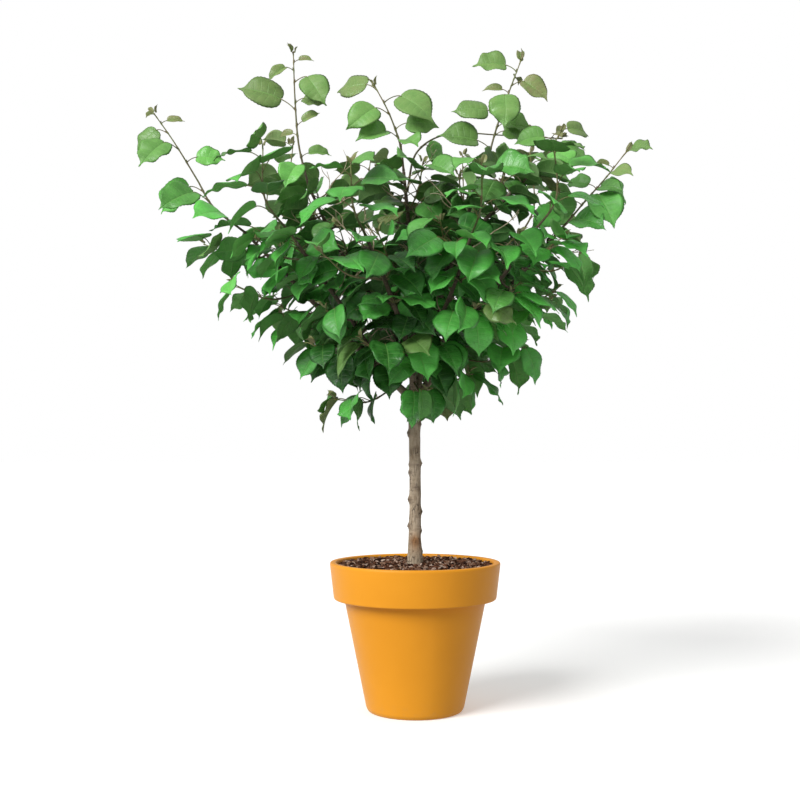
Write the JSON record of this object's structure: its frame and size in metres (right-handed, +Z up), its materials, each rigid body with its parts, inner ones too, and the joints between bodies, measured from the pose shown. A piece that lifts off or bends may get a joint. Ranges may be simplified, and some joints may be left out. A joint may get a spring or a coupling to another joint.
{
  "type": "potted apricot tree",
  "caption": "Young standard apricot tree with a leafy vase-shaped head on one clear stem, growing in a round tapered patio pot with a deep rim band.",
  "frame": {"origin": "middle of the pot's flat underside", "axes": "+Z up along the trunk, -Y towards the front"},
  "size_m": [0.9157, 0.7515, 1.1789],
  "materials": {
    "pot_plastic": "satin",
    "growing_medium": "matte",
    "bark": "matte",
    "foliage": "satin"
  },
  "bodies": {
    "root": {"leading_shoot_back": "foliage", "leading_shoot_back_right": "foliage", "leading_shoot_centre": "foliage", "leading_shoot_front": "foliage", "leading_shoot_front_right": "foliage", "leading_shoot_left": "foliage", "leading_shoot_left_back": "foliage", "leading_shoot_left_front": "foliage", "leading_shoot_reach": "foliage", "leading_shoot_right": "foliage", "leading_shoot_right_back": "foliage", "leading_shoot_right_front": "foliage", "leading_shoot_upper_left": "foliage", "leading_shoot_upper_right": "foliage", "pot": "pot_plastic", "side_shoot_01": "foliage", "side_shoot_02": "foliage", "side_shoot_03": "foliage", "side_shoot_04": "foliage", "side_shoot_05": "foliage", "side_shoot_06": "foliage", "side_shoot_07": "foliage", "side_shoot_08": "foliage", "side_shoot_09": "foliage", "side_shoot_10": "foliage", "side_shoot_11": "foliage", "side_shoot_12": "foliage", "side_shoot_13": "foliage", "side_shoot_14": "foliage", "side_shoot_15": "foliage", "side_shoot_16": "foliage", "side_shoot_17": "foliage", "side_shoot_18": "foliage", "side_shoot_19": "foliage", "side_shoot_20": "foliage", "side_shoot_21": "foliage", "side_shoot_22": "foliage", "side_shoot_23": "foliage", "side_shoot_24": "foliage", "side_shoot_25": "foliage", "side_shoot_26": "foliage", "side_shoot_27": "foliage", "side_shoot_28": "foliage", "side_shoot_29": "foliage", "side_shoot_30": "foliage", "side_shoot_31": "foliage", "side_shoot_32": "foliage", "side_shoot_33": "foliage", "side_shoot_34": "foliage", "side_shoot_35": "foliage", "side_shoot_36": "foliage", "side_shoot_37": "foliage", "soil": "growing_medium", "trunk_and_branches": "bark", "whip_shoot": "foliage"}
  },
  "joints": []
}
